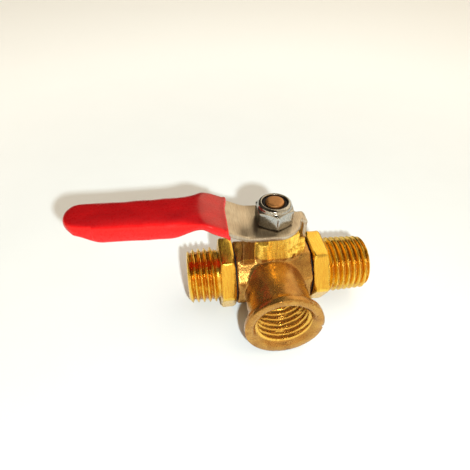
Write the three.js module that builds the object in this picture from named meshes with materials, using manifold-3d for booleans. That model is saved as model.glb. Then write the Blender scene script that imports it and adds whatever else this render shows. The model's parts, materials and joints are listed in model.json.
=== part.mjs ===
// Mini three way ball valve: a forged brass body with a female branch in front, two screwed-in
// male end connectors on the run, a T-port ball, and a flat steel lever with a dipped vinyl grip.
// Millimetres. +X along the run to the longer connector, -Y out of the branch, +Z up the stem.
// The origin is on the flat underside of the body, straight below the stem.
import * as THREE from 'three';
import { mergeVertices } from 'three/addons/utils/BufferGeometryUtils.js';
import Module from 'manifold-3d';

const wasm = await Module();
wasm.setup();

// ---- Driving sizes -------------------------------------------------------------------------

// Fits
const FIXED_GAP = 0.05;          // between pieces that never move on each other
const RUN_GAP = 0.15;            // between the ball and its seats
const BORE_GAP = 0.1;            // stem in its bore
const STOP_GAP = 0.3;            // lever tab to a stop at the end of its travel

// Ball and seats
const BALL_R = 5.5;
const BALL_PORT_R = 3.0;
const SLOT_WIDTH = 2.4;
const SLOT_DEPTH = 1.4;
const CHAMBER_R = BALL_R + 0.5;
const SEAT_BORE_R = 3.3;
const SEAT_LIP_R = BALL_R - 0.9;
const SEAT_BACK = BALL_R + 0.4;  // ball's centre to the back of a seat
const SEAT_FACE = Math.sqrt((BALL_R + RUN_GAP) ** 2 - SEAT_LIP_R ** 2);

// Run: barrel, sockets and connectors
const BODY_HALF_LENGTH = 8.8;    // stem axis to either end face of the barrel
const BODY_WALL = 1.15;          // barrel wall outside the screwed sockets
const SEAL_THICKNESS = 0.4;      // sealing ring between barrel and hex
const SEAL_WIDTH = 0.75;
const TAIL_R = CHAMBER_R + 0.3;  // screwed tail of a connector
const SOCKET_R = TAIL_R + FIXED_GAP;
const SOCKET_RUNOUT = 0.95;      // socket beyond the end of the tail
const BODY_AF = 2 * (SOCKET_R + BODY_WALL);
const HEX_AF = BODY_AF + 0.5;
const HEX_START = BODY_HALF_LENGTH + SEAL_THICKNESS;
const TAIL_END = SEAT_BACK + FIXED_GAP;
const BORE_R = 3.5;              // way through the connectors and into the branch
const LEFT_HEX_WIDTH = 3.4;
const RIGHT_HEX_WIDTH = 3.8;
const LEFT_END_REACH = 20.4;     // stem axis to the left connector's end face
const RIGHT_END_REACH = 23.9;    // stem axis to the right connector's end face

// Pipe threads
const THREAD_PITCH = 1.411;      // 1/4 inch taper pipe thread, 18 turns to the inch
const THREAD_DEPTH = 1.0;
const MALE_TIP_R = 6.6;          // crest radius at the end of a male thread
const TAPER = 1 / 32;            // growth of a pipe thread's radius along its length
const THREAD_CHAMFER = 0.9;
const NECK_WIDTH = 0.9;          // plain groove between a male thread and its hex

// Branch
const BRANCH_REACH = 18.1;       // stem axis to the branch face
const BRANCH_CREST_R = 5.72;     // crest radius of the female thread at its mouth
const BRANCH_THREAD_DEPTH = 0.92;
const BRANCH_TURNS = 7;
const BRANCH_WALL = 0.56;        // neck outside the thread, at the barrel
const BRANCH_NECK_FLARE = 0.35;  // growth of the neck's radius towards the rim
const BRANCH_MOUTH_DEPTH = 0.8;
const BRANCH_ROOT_R = BRANCH_CREST_R + BRANCH_THREAD_DEPTH;
const BRANCH_NECK_R = BRANCH_ROOT_R + BRANCH_WALL;
const BRANCH_MOUTH_R = BRANCH_ROOT_R + 0.81;
const BRANCH_RIM_R = BRANCH_MOUTH_R + 1.45;
const BRANCH_RIM_WIDTH = 1.7;

// Stem; heights are above the ball's centre
const STEM_R = 2.9;
const STEM_FLANGE_R = STEM_R + 0.8;
const STEM_FLANGE_BOTTOM = BALL_R + 0.6;
const STEM_FLANGE_THICKNESS = 0.8;
const THRUST_WASHER_THICKNESS = 0.5;
const THRUST_SHOULDER =
  STEM_FLANGE_BOTTOM + STEM_FLANGE_THICKNESS + THRUST_WASHER_THICKNESS + 2 * FIXED_GAP;
const O_RING_SECTION_R = 0.33;
const O_RING_HEIGHTS = [THRUST_SHOULDER + 1.4, THRUST_SHOULDER + 3.5];
const TANG_HALF_LENGTH = SEAT_FACE - 0.35;
const GROOVE_WIDTH = 1.0;
const GROOVE_R = STEM_R + BORE_GAP - 2 * O_RING_SECTION_R - 0.1;
const STUD_R = 2.5;              // M5 top of the stem
const STUD_CHAMFER = 0.45;
const FLATS_AF = 3.9;            // double D that turns with the lever
const FLATS_OVERRUN = 0.3;       // flats above the lever, inside the nut

// Boss, shelf and stops
const BOSS_WALL = 1.5;           // thinnest wall round the stem's bore
const BOSS_HALF = STEM_R + BORE_GAP + BOSS_WALL;
const BOSS_CHAMFER = 1.35;
const BOSS_TOP = THRUST_SHOULDER + 4.5;
const STOP_TOP = BOSS_TOP + 2.15;
const STOP_WALL_REACH = BOSS_HALF + 1.4;

// Lever; reach is the distance from the stem axis towards the grip, negative beyond the stem
const PLATE_THICKNESS = 1.15;
const PLATE_BOTTOM = STOP_TOP + 0.5;
const PLATE_TOP = PLATE_BOTTOM + PLATE_THICKNESS;
const HEAD_R = 6.15;
const TAB_INNER_X = BOSS_HALF + 2.3;
const TAB_OUTER_X = TAB_INNER_X + PLATE_THICKNESS;
const TAB_FRONT_Y = -0.5;
const TAB_WIDTH = 3;
const TAB_BOTTOM = PLATE_BOTTOM - 4.45;
const SHELF_REACH = TAB_INNER_X + 0.8;
const SHELF_TOP = TAB_BOTTOM - 0.5;
const REST_LUG_TOP = TAB_BOTTOM + 0.5;
const LEVER_REACH = 44;          // stem axis to the steel tip of the lever
const GRIP_START = 10.6;
const VINYL = 0.55;              // wall of the dipped grip
const CRANK_START = 6.2;
const CRANK_END = 16.1;
const CRANK_SLOPE = 0.5;
const BEND_SOFTNESS = 0.8;
const GRIP_SHOULDER = 5.15;      // half width of the steel where the grip narrows
const GRIP_NARROWEST = 4.45;
const TIP_POWER = 2.3;           // 2 for an elliptic tip, higher for a squarer one
const EDGE_FOLD = 3.0;           // how far the grip's long edges are folded down
const FOLD_START = 13.5;
const FOLD_END = 23;
const FOLD_FADE = 36;            // the folds run out from here to the tip
const FOLD_POWER = 6;            // higher for a flatter top and a tighter fold

// Lock nut
const NUT_AF = 7.9;
const NUT_HEX_HEIGHT = 4;
const NUT_HEIGHT = 5;
const NUT_COLLAR_R = NUT_AF / 2 - 0.2;
const NUT_LIP_R = STUD_R + 0.25;
const INSERT_R = STUD_R + 0.8;
const STEM_TOP = PLATE_TOP + NUT_HEIGHT + 0.3;

const AXIS_HEIGHT = BODY_AF / 2; // ball's centre above the underside

// Facets
const ROUND = 32;
const STRIP_STATIONS = 28;

// ---- Geometry helpers ----------------------------------------------------------------------

const X = new THREE.Vector3(1, 0, 0);
const Y = new THREE.Vector3(0, 1, 0);
const Z = new THREE.Vector3(0, 0, 1);

function signedVolume(positions, triangles) {
  const a = new THREE.Vector3();
  const b = new THREE.Vector3();
  const c = new THREE.Vector3();
  let volume = 0;
  for (let i = 0; i < triangles.length; i += 3) {
    a.fromArray(positions, 3 * triangles[i]);
    b.fromArray(positions, 3 * triangles[i + 1]);
    c.fromArray(positions, 3 * triangles[i + 2]);
    volume += a.dot(b.cross(c)) / 6;
  }
  return volume;
}

// A closed geometry with merged corners becomes a solid whose faces point out.
function toSolid(geometry) {
  const bare = geometry.clone();
  bare.deleteAttribute('normal');
  bare.deleteAttribute('uv');
  const merged = mergeVertices(bare);
  const corners = merged.index.array;
  const positions = Float32Array.from(merged.attributes.position.array);
  const triangles = [];
  for (let i = 0; i < corners.length; i += 3) {
    const triangle = [corners[i], corners[i + 1], corners[i + 2]];
    if (new Set(triangle).size === 3) {
      triangles.push(...triangle);
    }
  }
  if (signedVolume(positions, triangles) < 0) {
    triangles.reverse();
  }
  return new wasm.Manifold(
    new wasm.Mesh({ numProp: 3, vertProperties: positions, triVerts: Uint32Array.from(triangles) }));
}

function toGeometry(solid) {
  const mesh = solid.getMesh();
  const geometry = new THREE.BufferGeometry();
  geometry.setAttribute('position', new THREE.BufferAttribute(mesh.vertProperties, 3));
  geometry.setIndex(new THREE.BufferAttribute(mesh.triVerts, 1));
  geometry.computeVertexNormals();
  return geometry;
}

const join = (...geometries) => toGeometry(geometries.map(toSolid).reduce((a, b) => a.add(b)));
const cut = (base, ...tools) =>
  toGeometry(tools.map(toSolid).reduce((a, b) => a.subtract(b), toSolid(base)));
const common = (a, b) => toGeometry(toSolid(a).intersect(toSolid(b)));

// Profiles are [distance along the axis, radius] pairs.
function revolve(profile, xTo, yTo, zTo, segments = ROUND) {
  const points = profile.map(([along, radius]) => new THREE.Vector2(radius, along));
  const geometry = new THREE.LatheGeometry(points, segments);
  return geometry.applyMatrix4(new THREE.Matrix4().makeBasis(xTo, yTo, zTo));
}

const revolveX = (profile, segments) => revolve(profile, Z, X, Y, segments);
const revolveY = (profile, segments) => revolve(profile, X, Y, Z, segments);
const revolveZ = (profile, segments) => revolve(profile, Y, Z, X, segments);

const rod = (from, to, radius) => [[from, 0], [from, radius], [to, radius], [to, 0]];
const ring = (from, to, inner, outer) =>
  [[from, inner], [from, outer], [to, outer], [to, inner], [from, inner]];

function outline(points) {
  return new THREE.Shape(points.map(([a, b]) => new THREE.Vector2(a, b)));
}

// Prism of a (y, z) outline along X.
function prismX(points, from, to) {
  const geometry = new THREE.ExtrudeGeometry(outline(points), { depth: to - from, bevelEnabled: false });
  geometry.applyMatrix4(new THREE.Matrix4().makeBasis(Y, Z, X));
  return geometry.translate(from, 0, 0);
}

// Prism of an (x, y) outline along Z.
function prismZ(points, from, to) {
  const geometry = new THREE.ExtrudeGeometry(outline(points), { depth: to - from, bevelEnabled: false });
  return geometry.translate(0, 0, from);
}

function box(low, high) {
  const size = high.map((value, i) => value - low[i]);
  const middle = high.map((value, i) => (value + low[i]) / 2);
  return new THREE.BoxGeometry(...size).translate(...middle);
}

// Corners of a regular polygon; the first flat faces the first axis when turned by half a side.
function polygon(sides, acrossFlats, turn = 0) {
  const radius = acrossFlats / 2 / Math.cos(Math.PI / sides);
  return Array.from({ length: sides }, (_, i) => {
    const angle = turn + (2 * Math.PI * i) / sides;
    return [radius * Math.cos(angle), radius * Math.sin(angle)];
  });
}

const mirrorX = (points) => points.map(([x, y]) => [-x, y]);

function node(name, geometry, color, roughness, metalness) {
  const mesh = new THREE.Mesh(geometry, new THREE.MeshStandardMaterial({ color, roughness, metalness }));
  mesh.name = name;
  return mesh;
}

const BRASS = [0xd9a92e, 0.3, 1];
const FORGED_BRASS = [0xb98527, 0.45, 1];
const CHROME = [0xd8dade, 0.12, 1];
const STEEL = [0xb9b2a3, 0.42, 1];
const ZINC = [0xb4b6b6, 0.35, 1];
const PTFE = [0xf0efe9, 0.5, 0];
const NITRILE = [0x151515, 0.7, 0];
const NYLON = [0x1d1b1c, 0.5, 0];
const RED_VINYL = [0xc4161a, 0.28, 0];

// ---- Pipe threads --------------------------------------------------------------------------

// V-shaped turns from a to b; crest(x) and root(x) give the radii at a place along the axis.
function threadProfile(from, turns, direction, crest, root) {
  const points = [];
  for (let turn = 0; turn < turns; turn += 1) {
    const crestAt = from + direction * THREAD_PITCH * (turn + 0.5);
    const rootAt = from + direction * THREAD_PITCH * (turn + 1);
    points.push([crestAt, crest(crestAt)]);
    points.push([rootAt, root(rootAt)]);
  }
  return points;
}

// ---- Body ----------------------------------------------------------------------------------

function branchOutside() {
  const rimBack = -BRANCH_REACH + BRANCH_RIM_WIDTH;
  const neckEnd = BRANCH_NECK_R + BRANCH_NECK_FLARE;
  const rise = BRANCH_RIM_R - neckEnd;
  return revolveY([
    [0, 0],
    [0, BRANCH_NECK_R],
    [-BODY_AF / 2, BRANCH_NECK_R],
    [rimBack + rise, neckEnd],
    [rimBack, BRANCH_RIM_R - 0.15],
    [-BRANCH_REACH + 0.2, BRANCH_RIM_R],
    [-BRANCH_REACH, BRANCH_RIM_R - 0.2],
    [-BRANCH_REACH, 0],
  ]);
}

function branchInside() {
  const threadStart = -BRANCH_REACH + BRANCH_MOUTH_DEPTH;
  const crest = (y) => BRANCH_CREST_R - (y - threadStart) * TAPER;
  const root = (y) => crest(y) + BRANCH_THREAD_DEPTH;
  const turns = threadProfile(threadStart, BRANCH_TURNS, 1, crest, root);
  const threadEnd = threadStart + BRANCH_TURNS * THREAD_PITCH;
  return revolveY([
    [-BRANCH_REACH - 1, 0],
    [-BRANCH_REACH - 1, BRANCH_MOUTH_R],
    [-BRANCH_REACH, BRANCH_MOUTH_R],
    [threadStart, root(threadStart)],
    ...turns.slice(0, -1),
    [threadEnd, crest(threadEnd)],
    [threadEnd + 0.6, BORE_R],
    [0, BORE_R],
    [0, 0],
  ]);
}

function runInside() {
  const end = BODY_HALF_LENGTH + 1;
  const floor = TAIL_END - SOCKET_RUNOUT;
  return revolveX([
    [-end, 0],
    [-end, SOCKET_R],
    [-floor, SOCKET_R],
    [-floor, CHAMBER_R],
    [floor, CHAMBER_R],
    [floor, SOCKET_R],
    [end, SOCKET_R],
    [end, 0],
  ]);
}

function stemInside() {
  return revolveZ([
    [0, 0],
    [0, STEM_FLANGE_R + 0.2],
    [THRUST_SHOULDER, STEM_FLANGE_R + 0.2],
    [THRUST_SHOULDER, STEM_R + BORE_GAP],
    [STOP_TOP + 1, STEM_R + BORE_GAP],
    [STOP_TOP + 1, 0],
  ]);
}

// The boss is a square block with cut corners; its right side runs out into a shelf.
function bossPlan() {
  const short = BOSS_HALF - BOSS_CHAMFER;
  return [
    [-short, -BOSS_HALF], [short, -BOSS_HALF], [BOSS_HALF, -short], [BOSS_HALF, short],
    [short, BOSS_HALF], [-short, BOSS_HALF], [-BOSS_HALF, short], [-BOSS_HALF, -short],
  ];
}

function shelfPlan() {
  const short = BOSS_HALF - BOSS_CHAMFER;
  return [
    [0, -BOSS_HALF], [short, -BOSS_HALF], [SHELF_REACH, -2.6],
    [SHELF_REACH, 2.6], [short, BOSS_HALF], [0, BOSS_HALF],
  ];
}

// Raised wall along the front of the boss, ending beside the lever's tab.
function frontWallPlan() {
  const short = BOSS_HALF - BOSS_CHAMFER;
  return [
    [-short, -BOSS_HALF], [short, -BOSS_HALF], [STOP_WALL_REACH, -3.33],
    [STOP_WALL_REACH, -1.6], [STEM_R + 0.3, -1.6], [0, -STEM_R - 0.45], [-short, -STEM_R - 0.45],
  ];
}

// Low lug on the shelf that stops the tab in the rest position.
function restLugPlan() {
  const face = TAB_FRONT_Y - STOP_GAP;
  return [
    [STOP_WALL_REACH - 0.5, face - 1], [SHELF_REACH, face - 1],
    [SHELF_REACH, face], [STOP_WALL_REACH - 0.5, face],
  ];
}

// Lug on the left that stops the tab after half a turn.
function farStopPlan() {
  const face = -(TAB_FRONT_Y + TAB_WIDTH) - STOP_GAP;
  return mirrorX([
    [BOSS_HALF - 0.8, face - 1.3], [SHELF_REACH - 0.1, face - 1.3],
    [SHELF_REACH - 0.1, face], [BOSS_HALF - 0.8, face],
  ]).reverse();
}

function body() {
  const barrel = prismX(polygon(8, BODY_AF, Math.PI / 8), -BODY_HALF_LENGTH, BODY_HALF_LENGTH);
  const outside = join(
    barrel,
    branchOutside(),
    prismZ(bossPlan(), 0, BOSS_TOP),
    prismZ(shelfPlan(), 0, SHELF_TOP),
    prismZ(frontWallPlan(), 0, STOP_TOP),
    prismZ(restLugPlan(), 0, REST_LUG_TOP),
    prismZ(farStopPlan(), 0, STOP_TOP),
  );
  const solid = cut(outside, runInside(), branchInside(), stemInside());
  return node('valve_body', solid, ...FORGED_BRASS);
}

// ---- End connectors and their seals --------------------------------------------------------

function connector(name, side, reach, hexWidth) {
  const hexEnd = HEX_START + hexWidth;
  const threadStart = hexEnd + NECK_WIDTH;
  const tipStart = reach - THREAD_CHAMFER;
  const turns = Math.floor((tipStart - threadStart) / THREAD_PITCH);
  const crest = (x) => MALE_TIP_R + (reach - x) * TAPER;
  const root = (x) => crest(x) - THREAD_DEPTH;
  const along = (points) => points.map(([x, r]) => [side * x, r]);
  const firstRoot = tipStart - turns * THREAD_PITCH;
  const shank = revolveX(along([
    [TAIL_END, BORE_R],
    [TAIL_END, TAIL_R - 0.4],
    [TAIL_END + 0.4, TAIL_R],
    [HEX_START + 0.5, TAIL_R],
    [hexEnd, root(hexEnd)],
    [firstRoot, root(firstRoot)],
    ...threadProfile(firstRoot, turns, 1, crest, root),
    [tipStart + 0.35, crest(tipStart)],
    [reach, crest(reach) - 0.75],
    [reach, BORE_R],
    [TAIL_END, BORE_R],
  ]));
  const hex = prismX(polygon(6, HEX_AF), ...[side * HEX_START, side * hexEnd].sort((a, b) => a - b));
  const cornerR = HEX_AF / 2 / Math.cos(Math.PI / 6);
  const chamfer = revolveX(along([
    [HEX_START, 0],
    [HEX_START, HEX_AF / 2 + 0.3],
    [HEX_START + 0.6, cornerR + 0.3],
    [hexEnd - 0.6, cornerR + 0.3],
    [hexEnd, HEX_AF / 2 + 0.3],
    [hexEnd, 0],
  ]));
  const bore = revolveX(along(rod(TAIL_END - 1, reach + 1, BORE_R)));
  const solid = cut(join(shank, common(hex, chamfer)), bore);
  return node(name, solid, ...BRASS);
}

function bodySeal(name, side) {
  const face = BODY_HALF_LENGTH + FIXED_GAP / 2;
  const solid = revolveX(ring(side * face, side * (HEX_START - FIXED_GAP / 2), SOCKET_R + FIXED_GAP, TAIL_R + 0.1 + SEAL_WIDTH));
  return node(name, toGeometry(toSolid(solid)), ...NITRILE);
}

// ---- Ball and seats ------------------------------------------------------------------------

// At rest the T of passages opens to the left, to the front and, blind, to the back.
function ball() {
  const sphere = new THREE.SphereGeometry(BALL_R, ROUND, ROUND / 2).rotateX(Math.PI / 2);
  const through = revolveY(rod(-BALL_R - 1, BALL_R + 1, BALL_PORT_R));
  const side = revolveX(rod(-BALL_R - 1, 0, BALL_PORT_R));
  const slot = box([-BALL_R - 1, -SLOT_WIDTH / 2, BALL_R - SLOT_DEPTH], [BALL_R + 1, SLOT_WIDTH / 2, BALL_R + 1]);
  return node('ball', cut(sphere, through, side, slot), ...CHROME);
}

function seat(name, side) {
  const facing = BALL_R + RUN_GAP;
  const depth = (r) => Math.sqrt(facing * facing - r * r);
  const arc = [];
  for (let i = 0; i <= 4; i += 1) {
    const r = SEAT_BORE_R + ((SEAT_LIP_R - SEAT_BORE_R) * i) / 4;
    arc.push([side * depth(r), r]);
  }
  const profile = [
    ...arc,
    [side * SEAT_FACE, CHAMBER_R - RUN_GAP],
    [side * SEAT_BACK, CHAMBER_R - RUN_GAP],
    [side * SEAT_BACK, SEAT_BORE_R],
    arc[0],
  ];
  return node(name, toGeometry(toSolid(revolveX(profile))), ...PTFE);
}

// ---- Stem and its seals --------------------------------------------------------------------

function stem() {
  const flangeTop = STEM_FLANGE_BOTTOM + STEM_FLANGE_THICKNESS;
  const grooves = O_RING_HEIGHTS.flatMap((height) => [
    [height - GROOVE_WIDTH / 2, STEM_R],
    [height - GROOVE_WIDTH / 2, GROOVE_R],
    [height + GROOVE_WIDTH / 2, GROOVE_R],
    [height + GROOVE_WIDTH / 2, STEM_R],
  ]);
  const shoulder = PLATE_BOTTOM - FIXED_GAP;
  const shaft = revolveZ([
    [STEM_FLANGE_BOTTOM, 0],
    [STEM_FLANGE_BOTTOM, STEM_FLANGE_R],
    [flangeTop, STEM_FLANGE_R],
    [flangeTop, STEM_R],
    ...grooves,
    [shoulder, STEM_R],
    [shoulder, STUD_R],
    [STEM_TOP - STUD_CHAMFER, STUD_R],
    [STEM_TOP, STUD_R - STUD_CHAMFER],
    [STEM_TOP, 0],
  ]);
  const flatsTop = PLATE_TOP + FLATS_OVERRUN;
  const flats = [-1, 1].map((side) => {
    const [near, far] = [side * FLATS_AF / 2, side * (STUD_R + 1)];
    return box([-4, Math.min(near, far), shoulder], [4, Math.max(near, far), flatsTop]);
  });
  const tangHalf = SLOT_WIDTH / 2 - 0.1;
  const tangBottom = BALL_R - SLOT_DEPTH + 0.25;
  const tang = box(
    [-TANG_HALF_LENGTH, -tangHalf, tangBottom],
    [TANG_HALF_LENGTH, tangHalf, STEM_FLANGE_BOTTOM + 0.3],
  );
  return node('stem', join(cut(shaft, ...flats), tang), ...BRASS);
}

function thrustWasher() {
  const bottom = STEM_FLANGE_BOTTOM + STEM_FLANGE_THICKNESS + FIXED_GAP;
  const profile = ring(bottom, bottom + THRUST_WASHER_THICKNESS, STEM_R + 0.15, STEM_FLANGE_R + 0.1);
  return node('stem_thrust_washer', toGeometry(toSolid(revolveZ(profile))), ...PTFE);
}

function stemORing(name, height) {
  const middle = GROOVE_R + 0.05 + O_RING_SECTION_R;
  const profile = [];
  const sides = 8;
  for (let i = 0; i <= sides; i += 1) {
    const angle = (2 * Math.PI * (i % sides)) / sides;
    profile.push([height + O_RING_SECTION_R * Math.sin(angle), middle + O_RING_SECTION_R * Math.cos(angle)]);
  }
  return node(name, toGeometry(toSolid(revolveZ(profile))), ...NITRILE);
}

// ---- Lever ---------------------------------------------------------------------------------

const smooth = (from, to, value) => {
  const t = Math.min(1, Math.max(0, (value - from) / (to - from)));
  return t * t * (3 - 2 * t);
};

const softStep = (value) => (value + Math.hypot(value, BEND_SOFTNESS)) / 2;

function plateTop(reach) {
  return PLATE_TOP + CRANK_SLOPE * (softStep(reach - CRANK_START) - softStep(reach - CRANK_END));
}

// Half width of the steel strip between its rounded ends.
function sideWidth(reach) {
  const shoulder = (HEAD_R - GRIP_SHOULDER) * smooth(12.5, 20, reach);
  const taper = (GRIP_SHOULDER - GRIP_NARROWEST) * smooth(20, LEVER_REACH, reach);
  return HEAD_R - shoulder - taper;
}

// Half width with the round head and the round tip; `grow` lengthens the tip.
function halfWidth(reach, grow) {
  if (reach < 0) {
    return Math.sqrt(Math.max(0.01, HEAD_R * HEAD_R - reach * reach));
  }
  const corner = GRIP_NARROWEST + grow;
  const intoTip = Math.max(0, reach - (LEVER_REACH + grow - corner)) / corner;
  return sideWidth(reach) * Math.max(0.02, 1 - intoTip ** TIP_POWER) ** (1 / TIP_POWER);
}

// Drop and slope of the folded steel at a place across the strip.
function fold(reach, y) {
  const runout = 1 - 0.7 * smooth(FOLD_FADE, LEVER_REACH, reach);
  const depth = EDGE_FOLD * smooth(FOLD_START, FOLD_END, reach) * runout;
  const side = sideWidth(reach);
  const out = Math.abs(y) / side;
  const slope = (Math.sign(y) * depth * FOLD_POWER * out ** (FOLD_POWER - 1)) / side;
  return { drop: depth * out ** FOLD_POWER, slope };
}

// Corner of a cross-section, `lift` above the steel's top and `past` beyond its edge.
function sectionCorner(reach, y, lift, past) {
  const { drop, slope } = fold(reach, y);
  const length = Math.hypot(1, slope);
  return [
    -reach,
    y + (slope * lift + past) / length,
    plateTop(reach) - drop + (lift - slope * past) / length,
  ];
}

// A strip that follows the lever, `grow` thicker than the steel on every side: its
// cross-sections are stacked from `from` to `to`.
function strip(from, to, grow, stations) {
  const across = 14;
  const positions = [];
  const triangles = [];
  for (let i = 0; i <= stations; i += 1) {
    const along = (1 - Math.cos((Math.PI * i) / stations)) / 2;
    const reach = from + (to - from) * along;
    const half = halfWidth(reach, grow);
    for (const [lift, direction] of [[-PLATE_THICKNESS - grow, 1], [grow, -1]]) {
      for (let j = 0; j <= across; j += 1) {
        const place = direction * Math.sin(Math.PI * (j / across - 0.5));
        const past = j % across ? 0 : Math.sign(place) * grow;
        positions.push(...sectionCorner(reach, place * half, lift, past));
      }
    }
  }
  const count = 2 * (across + 1);
  for (let i = 0; i < stations; i += 1) {
    for (let j = 0; j < count; j += 1) {
      const a = i * count + j;
      const b = i * count + ((j + 1) % count);
      triangles.push(a, b, b + count, a, b + count, a + count);
    }
  }
  for (let j = 0; j < across; j += 1) {
    for (const [start, flip] of [[0, true], [stations * count, false]]) {
      const corners = [start + j, start + j + 1, start + count - 2 - j, start + count - 1 - j];
      const [a, b, c, d] = flip ? corners.reverse() : corners;
      triangles.push(a, b, c, a, c, d);
    }
  }
  const geometry = new THREE.BufferGeometry();
  geometry.setAttribute('position', new THREE.Float32BufferAttribute(positions, 3));
  geometry.setIndex(triangles);
  return geometry;
}

function leverPlate() {
  const steel = strip(-HEAD_R, LEVER_REACH, 0, STRIP_STATIONS);
  const tabBack = TAB_FRONT_Y + TAB_WIDTH;
  const tab = box([TAB_INNER_X, TAB_FRONT_Y, TAB_BOTTOM], [TAB_OUTER_X, tabBack, PLATE_TOP - 0.3]);
  const root = box([HEAD_R - 3, TAB_FRONT_Y, PLATE_BOTTOM], [TAB_OUTER_X - 0.35, tabBack, PLATE_TOP]);
  const hole = revolveZ(rod(PLATE_BOTTOM - 1, PLATE_TOP + 1, STUD_R + 0.05));
  const flatHalf = FLATS_AF / 2 + 0.05;
  const acrossFlats = box([-4, -flatHalf, PLATE_BOTTOM - 1], [4, flatHalf, PLATE_TOP + 1]);
  const solid = cut(join(steel, tab, root), common(hole, acrossFlats));
  return node('lever_plate', solid, ...STEEL);
}

function gripSleeve() {
  const outer = strip(GRIP_START, LEVER_REACH + VINYL, VINYL, STRIP_STATIONS);
  const inner = strip(-HEAD_R, LEVER_REACH + FIXED_GAP, FIXED_GAP, STRIP_STATIONS);
  return node('lever_grip_sleeve', cut(outer, inner), ...RED_VINYL);
}

// ---- Lock nut ------------------------------------------------------------------------------

function lockNut() {
  const bottom = PLATE_TOP + FIXED_GAP;
  const hexTop = bottom + NUT_HEX_HEIGHT;
  const top = bottom + NUT_HEIGHT;
  const hex = prismZ(polygon(6, NUT_AF, Math.PI / 6), bottom, hexTop);
  const cornerR = NUT_AF / 2 / Math.cos(Math.PI / 6);
  const rounding = revolveZ([
    [bottom, 0],
    [bottom, NUT_AF / 2 + 0.1],
    [bottom + 0.4, cornerR + 0.1],
    [hexTop - 0.6, cornerR + 0.1],
    [hexTop, NUT_AF / 2],
    [hexTop, 0],
  ]);
  const collar = revolveZ([
    [hexTop - 1, 0],
    [hexTop - 1, NUT_COLLAR_R],
    [top - 0.8, NUT_COLLAR_R],
    [top - 0.25, NUT_COLLAR_R - 0.3],
    [top, NUT_LIP_R + 0.35],
    [top, 0],
  ]);
  const inside = revolveZ([
    [bottom - 1, 0],
    [bottom - 1, STUD_R + FIXED_GAP],
    [hexTop - 0.2, STUD_R + FIXED_GAP],
    [hexTop - 0.2, INSERT_R],
    [top - 0.5, INSERT_R],
    [top - 0.3, NUT_LIP_R],
    [top + 1, NUT_LIP_R],
    [top + 1, 0],
  ]);
  return node('lock_nut', cut(join(common(hex, rounding), collar), inside), ...ZINC);
}

function nutInsert() {
  const bottom = PLATE_TOP + NUT_HEX_HEIGHT;
  const top = PLATE_TOP + NUT_HEIGHT - 0.5;
  const profile = ring(bottom, top, STUD_R + FIXED_GAP, INSERT_R - FIXED_GAP);
  return node('nut_nylon_insert', toGeometry(toSolid(revolveZ(profile))), ...NYLON);
}

// ---- Assembly ------------------------------------------------------------------------------

const fixed = new THREE.Group();
fixed.add(
  body(),
  connector('left_end_connector', -1, LEFT_END_REACH, LEFT_HEX_WIDTH),
  connector('right_end_connector', 1, RIGHT_END_REACH, RIGHT_HEX_WIDTH),
  bodySeal('left_body_seal', -1),
  bodySeal('right_body_seal', 1),
  seat('left_ball_seat', -1),
  seat('right_ball_seat', 1),
  thrustWasher(),
);

const turning = new THREE.Group();
turning.add(
  ball(),
  stem(),
  stemORing('stem_o_ring_lower', O_RING_HEIGHTS[0]),
  stemORing('stem_o_ring_upper', O_RING_HEIGHTS[1]),
  leverPlate(),
  gripSleeve(),
  lockNut(),
  nutInsert(),
);

const valve = new THREE.Group();
valve.position.z = AXIS_HEIGHT;
valve.add(fixed, turning);

const model = new THREE.Group();
model.add(valve);

export default model;
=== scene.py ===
"""Looks of the small brass three way ball valve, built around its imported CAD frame.

Every piece is a signed distance field in millimetres, measured from the ball's centre, with +X
along the run, -Y out of the branch and +Z up the stem. The fields are meshed with OpenVDB and
turned into metres in the row frame.
"""

import json
import math

import bpy
import numpy as np
import openvdb as vdb
from mathutils import Matrix, Vector


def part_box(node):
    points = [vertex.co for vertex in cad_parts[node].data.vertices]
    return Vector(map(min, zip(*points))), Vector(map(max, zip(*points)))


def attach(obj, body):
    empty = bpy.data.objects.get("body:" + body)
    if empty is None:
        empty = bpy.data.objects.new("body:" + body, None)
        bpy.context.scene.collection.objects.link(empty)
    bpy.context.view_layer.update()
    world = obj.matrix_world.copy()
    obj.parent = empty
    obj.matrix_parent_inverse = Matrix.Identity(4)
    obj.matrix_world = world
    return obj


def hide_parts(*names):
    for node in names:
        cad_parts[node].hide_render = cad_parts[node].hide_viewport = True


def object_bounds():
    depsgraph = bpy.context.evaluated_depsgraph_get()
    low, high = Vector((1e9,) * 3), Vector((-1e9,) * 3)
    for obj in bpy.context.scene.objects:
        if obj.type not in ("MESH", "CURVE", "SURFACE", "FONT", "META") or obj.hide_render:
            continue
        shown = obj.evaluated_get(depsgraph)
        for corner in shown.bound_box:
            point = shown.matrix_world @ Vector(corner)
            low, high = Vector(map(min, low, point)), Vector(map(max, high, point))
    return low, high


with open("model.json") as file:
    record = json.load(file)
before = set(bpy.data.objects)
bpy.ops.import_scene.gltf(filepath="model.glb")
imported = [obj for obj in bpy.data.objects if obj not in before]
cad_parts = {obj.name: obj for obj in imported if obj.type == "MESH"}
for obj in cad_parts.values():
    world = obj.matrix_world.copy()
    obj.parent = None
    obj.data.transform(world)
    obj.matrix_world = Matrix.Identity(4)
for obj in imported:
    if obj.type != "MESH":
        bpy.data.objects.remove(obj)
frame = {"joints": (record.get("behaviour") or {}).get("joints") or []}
cad_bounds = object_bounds()

# ---- Sizes, in millimetres ---------------------------------------------------------------------

MM = 0.001
CENTRE = Vector(next(j for j in frame["joints"] if j["name"] == "lever_turn")["pos_m"])


def span(node, axis):
    """Lowest and highest place of a CAD node along one axis, from the ball's centre."""
    low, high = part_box(node)
    return (low[axis] - CENTRE[axis]) / MM, (high[axis] - CENTRE[axis]) / MM


PITCH = 25.4 / 18                 # 1/4-18 taper pipe thread
TAPER = 1 / 32                    # growth of the radius along the axis

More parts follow.
